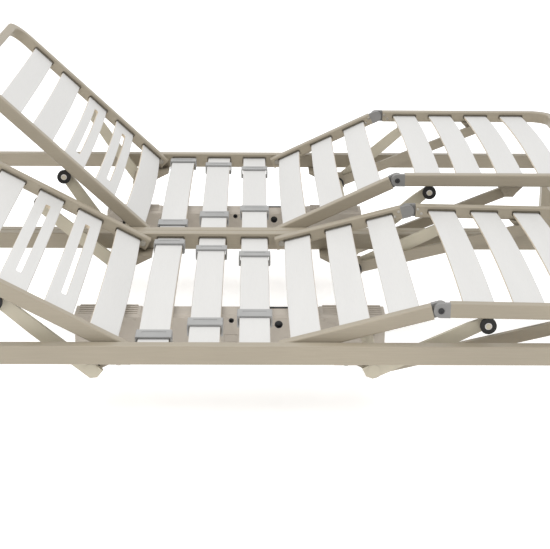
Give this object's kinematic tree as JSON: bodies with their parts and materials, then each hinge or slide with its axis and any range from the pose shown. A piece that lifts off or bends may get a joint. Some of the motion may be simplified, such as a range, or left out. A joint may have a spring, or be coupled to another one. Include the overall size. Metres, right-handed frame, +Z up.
{
  "type": "adjustable bed base",
  "caption": "Twin adjustable slatted bed base: each half raises its backrest and its hinged leg section by motor-driven lift arms.",
  "frame": {"origin": "on the floor, midway along the bed and midway between its two bases", "axes": "+Z up, +X towards the foot of the bed, +Y towards the left base"},
  "size_m": [2, 1.803, 0.7401],
  "materials": {
    "frame_paint": "sand-coloured satin lacquer",
    "lift_paint": "sand-coloured powder coat",
    "slat_white": "off-white foil over bent wood",
    "clip_grey": "matt light grey",
    "hinge_grey": "matt grey",
    "roller_rubber": "matt black",
    "drive_shell": "matt light grey-beige",
    "black_plastic": "matt black",
    "zinc_steel": "zinc plated"
  },
  "bodies": {
    "frame": {"right_outer_rail": "frame_paint", "right_inner_rail": "frame_paint", "left_inner_rail": "frame_paint", "left_outer_rail": "frame_paint", "crossbars": "frame_paint", "legs": "frame_paint", "leg_glides": "black_plastic", "joining_plates": "zinc_steel", "rest_buffers": "roller_rubber", "frame_bolts": "zinc_steel", "pivot_bolts": "zinc_steel", "seat_lower_slats": "slat_white", "seat_upper_slats": "slat_white", "shaft_brackets": "lift_paint", "shaft_bushes": "black_plastic", "right_drive_housing": "drive_shell", "left_drive_housing": "drive_shell", "drive_end_covers": "drive_shell", "drive_sockets": "black_plastic", "drive_motors": "zinc_steel"},
    "right_backrest": {"right_backrest_frame": "frame_paint", "right_backrest_slats": "slat_white"},
    "right_backrest_lift": {"right_backrest_lift": "lift_paint"},
    "right_backrest_rollers": {"right_backrest_rollers": "roller_rubber"},
    "right_thigh": {"right_thigh_beams": "frame_paint", "right_thigh_slats": "slat_white", "right_thigh_knee_fittings": "hinge_grey"},
    "right_calf": {"right_calf_frame": "frame_paint", "right_calf_slats": "slat_white", "right_calf_knee_fittings": "hinge_grey", "right_stay_brackets": "lift_paint"},
    "right_stays": {"right_stays": "lift_paint"},
    "right_leg_lift": {"right_leg_lift": "lift_paint"},
    "right_leg_rollers": {"right_leg_rollers": "roller_rubber"},
    "right_slider_1a": {"right_slider_1a": "clip_grey"},
    "right_slider_1b": {"right_slider_1b": "clip_grey"},
    "right_slider_2a": {"right_slider_2a": "clip_grey"},
    "right_slider_2b": {"right_slider_2b": "clip_grey"},
    "right_slider_3a": {"right_slider_3a": "clip_grey"},
    "right_slider_3b": {"right_slider_3b": "clip_grey"},
    "left_backrest": {"left_backrest_frame": "frame_paint", "left_backrest_slats": "slat_white"},
    "left_backrest_lift": {"left_backrest_lift": "lift_paint"},
    "left_backrest_rollers": {"left_backrest_rollers": "roller_rubber"},
    "left_thigh": {"left_thigh_beams": "frame_paint", "left_thigh_slats": "slat_white", "left_thigh_knee_fittings": "hinge_grey"},
    "left_calf": {"left_calf_frame": "frame_paint", "left_calf_slats": "slat_white", "left_calf_knee_fittings": "hinge_grey", "left_stay_brackets": "lift_paint"},
    "left_stays": {"left_stays": "lift_paint"},
    "left_leg_lift": {"left_leg_lift": "lift_paint"},
    "left_leg_rollers": {"left_leg_rollers": "roller_rubber"},
    "left_slider_1a": {"left_slider_1a": "clip_grey"},
    "left_slider_1b": {"left_slider_1b": "clip_grey"},
    "left_slider_2a": {"left_slider_2a": "clip_grey"},
    "left_slider_2b": {"left_slider_2b": "clip_grey"},
    "left_slider_3a": {"left_slider_3a": "clip_grey"},
    "left_slider_3b": {"left_slider_3b": "clip_grey"}
  },
  "joints": [
    {"name": "right_backrest_tilt", "type": "hinge", "parent": "frame", "child": "right_backrest", "pos_m": [-0.332, -0.4515, 0.2765], "axis": [0, 1, 0], "range_deg": [-28, 32]},
    {"name": "right_backrest_lift_turn", "type": "hinge", "parent": "frame", "child": "right_backrest_lift", "pos_m": [-0.401, -0.4515, 0.212], "axis": [0, 1, 0], "range_deg": [-30.96, 35.35]},
    {"name": "right_backrest_roller_spin", "type": "hinge", "parent": "right_backrest_lift", "child": "right_backrest_rollers", "pos_m": [-0.61255, -0.4515, 0.38456], "axis": [0, 1, 0], "continuous": true},
    {"name": "right_thigh_tilt", "type": "hinge", "parent": "frame", "child": "right_thigh", "pos_m": [0.052, -0.4515, 0.2765], "axis": [0, -1, 0], "range_deg": [-15, 20]},
    {"name": "right_knee_bend", "type": "hinge", "parent": "right_thigh", "child": "right_calf", "pos_m": [0.39973, -0.4515, 0.36967], "axis": [0, -1, 0], "range_deg": [-21.61, 16.26]},
    {"name": "right_leg_lift_turn", "type": "hinge", "parent": "frame", "child": "right_leg_lift", "pos_m": [0.253, -0.4515, 0.212], "axis": [0, -1, 0], "range_deg": [-20.14, 26.79]},
    {"name": "right_leg_roller_spin", "type": "hinge", "parent": "right_leg_lift", "child": "right_leg_rollers", "pos_m": [0.5096, -0.4515, 0.33134], "axis": [0, -1, 0], "continuous": true},
    {"name": "right_stay_swing", "type": "hinge", "parent": "frame", "child": "right_stays", "pos_m": [0.253, -0.4515, 0.212], "axis": [0, -1, 0], "range_deg": [-10.8, 14.34]},
    {"name": "right_slider_1a_slide", "type": "slide", "parent": "frame", "child": "right_slider_1a", "axis": [0, 0.9991, 0.0413], "range_m": [-0.015, 0.209]},
    {"name": "right_slider_1b_slide", "type": "slide", "parent": "frame", "child": "right_slider_1b", "axis": [0, -0.9991, 0.0413], "range_m": [-0.001, 0.223]},
    {"name": "right_slider_2a_slide", "type": "slide", "parent": "frame", "child": "right_slider_2a", "axis": [0, 0.9991, 0.0413], "range_m": [-0.089, 0.135]},
    {"name": "right_slider_2b_slide", "type": "slide", "parent": "frame", "child": "right_slider_2b", "axis": [0, -0.9991, 0.0413], "range_m": [-0.061, 0.163]},
    {"name": "right_slider_3a_slide", "type": "slide", "parent": "frame", "child": "right_slider_3a", "axis": [0, 0.9991, 0.0413], "range_m": [-0.143, 0.081]},
    {"name": "right_slider_3b_slide", "type": "slide", "parent": "frame", "child": "right_slider_3b", "axis": [0, -0.9991, 0.0413], "range_m": [-0.121, 0.103]},
    {"name": "left_backrest_tilt", "type": "hinge", "parent": "frame", "child": "left_backrest", "pos_m": [-0.332, 0.4515, 0.2765], "axis": [0, 1, 0], "range_deg": [-43, 17]},
    {"name": "left_backrest_lift_turn", "type": "hinge", "parent": "frame", "child": "left_backrest_lift", "pos_m": [-0.401, 0.4515, 0.212], "axis": [0, 1, 0], "range_deg": [-46.9, 18.66]},
    {"name": "left_backrest_roller_spin", "type": "hinge", "parent": "left_backrest_lift", "child": "left_backrest_rollers", "pos_m": [-0.5566, 0.4515, 0.43631], "axis": [0, 1, 0], "continuous": true},
    {"name": "left_thigh_tilt", "type": "hinge", "parent": "frame", "child": "left_thigh", "pos_m": [0.052, 0.4515, 0.2765], "axis": [0, -1, 0], "range_deg": [-25.5, 9.5]},
    {"name": "left_knee_bend", "type": "hinge", "parent": "left_thigh", "child": "left_calf", "pos_m": [0.37693, 0.4515, 0.43148], "axis": [0, -1, 0], "range_deg": [-9.7, 25.7]},
    {"name": "left_leg_lift_turn", "type": "hinge", "parent": "frame", "child": "left_leg_lift", "pos_m": [0.253, 0.4515, 0.212], "axis": [0, -1, 0], "range_deg": [-38.61, 14.51]},
    {"name": "left_leg_roller_spin", "type": "hinge", "parent": "left_leg_lift", "child": "left_leg_rollers", "pos_m": [0.46872, 0.4515, 0.39518], "axis": [0, -1, 0], "continuous": true},
    {"name": "left_stay_swing", "type": "hinge", "parent": "frame", "child": "left_stays", "pos_m": [0.253, 0.4515, 0.212], "axis": [0, -1, 0], "range_deg": [-19.34, 7.33]},
    {"name": "left_slider_1a_slide", "type": "slide", "parent": "frame", "child": "left_slider_1a", "axis": [0, 0.9991, 0.0413], "range_m": [-0.015, 0.209]},
    {"name": "left_slider_1b_slide", "type": "slide", "parent": "frame", "child": "left_slider_1b", "axis": [0, -0.9991, 0.0413], "range_m": [-0.001, 0.223]},
    {"name": "left_slider_2a_slide", "type": "slide", "parent": "frame", "child": "left_slider_2a", "axis": [0, 0.9991, 0.0413], "range_m": [-0.089, 0.135]},
    {"name": "left_slider_2b_slide", "type": "slide", "parent": "frame", "child": "left_slider_2b", "axis": [0, -0.9991, 0.0413], "range_m": [-0.061, 0.163]},
    {"name": "left_slider_3a_slide", "type": "slide", "parent": "frame", "child": "left_slider_3a", "axis": [0, 0.9991, 0.0413], "range_m": [-0.143, 0.081]},
    {"name": "left_slider_3b_slide", "type": "slide", "parent": "frame", "child": "left_slider_3b", "axis": [0, -0.9991, 0.0413], "range_m": [-0.121, 0.103]}
  ],
  "couplings": [
    {"joint": "right_backrest_lift_turn", "follows": "right_backrest_tilt", "ratio": 1.0985},
    {"joint": "right_knee_bend", "follows": "right_thigh_tilt", "ratio": -1.0704},
    {"joint": "right_leg_lift_turn", "follows": "right_thigh_tilt", "ratio": 1.3295},
    {"joint": "right_stay_swing", "follows": "right_thigh_tilt", "ratio": 0.7069},
    {"joint": "left_backrest_lift_turn", "follows": "left_backrest_tilt", "ratio": 1.086},
    {"joint": "left_knee_bend", "follows": "left_thigh_tilt", "ratio": -1.0001},
    {"joint": "left_leg_lift_turn", "follows": "left_thigh_tilt", "ratio": 1.5063},
    {"joint": "left_stay_swing", "follows": "left_thigh_tilt", "ratio": 0.7508}
  ]
}
